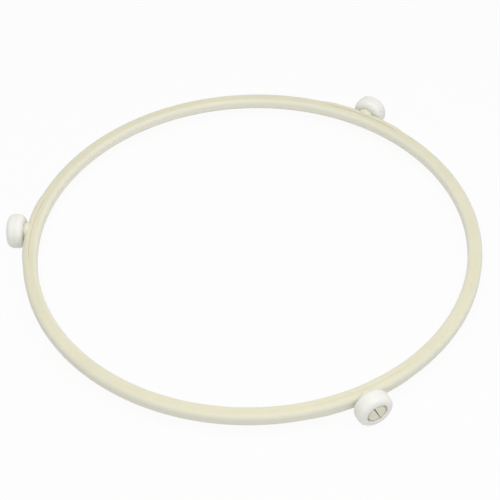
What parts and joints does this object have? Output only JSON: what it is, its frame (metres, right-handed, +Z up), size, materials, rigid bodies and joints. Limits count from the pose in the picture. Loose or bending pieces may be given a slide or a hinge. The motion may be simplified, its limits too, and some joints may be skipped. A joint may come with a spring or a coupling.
{
  "type": "microwave roller ring",
  "caption": "Flat moulded plastic ring with free-turning rollers on split snap axles around its outside, which carries and guides a microwave oven's glass turntable.",
  "frame": {"origin": "on the ring's own axis, at the level of the oven floor that the rollers stand on", "axes": "+Z up along the ring's axis; the axles lie at 60, 180 and 300 degrees from +X about +Z"},
  "size_m": [0.2207, 0.212, 0.016],
  "materials": {
    "ring_plastic": "cream moulded plastic with a fine satin surface",
    "roller_plastic": "off-white slippery plastic with a soft sheen"
  },
  "bodies": {
    "ring": {"ring": "ring_plastic"},
    "roller_1": {"roller_1": "roller_plastic"},
    "roller_2": {"roller_2": "roller_plastic"},
    "roller_3": {"roller_3": "roller_plastic"}
  },
  "joints": [
    {"name": "roller_1_spin", "type": "hinge", "parent": "ring", "child": "roller_1", "pos_m": [0.05547, 0.09609, 0.008], "axis": [0.5, 0.866, 0], "continuous": true},
    {"name": "roller_2_spin", "type": "hinge", "parent": "ring", "child": "roller_2", "pos_m": [-0.11095, 0, 0.008], "axis": [-1, 0, 0], "continuous": true},
    {"name": "roller_3_spin", "type": "hinge", "parent": "ring", "child": "roller_3", "pos_m": [0.05547, -0.09609, 0.008], "axis": [0.5, -0.866, 0], "continuous": true}
  ]
}
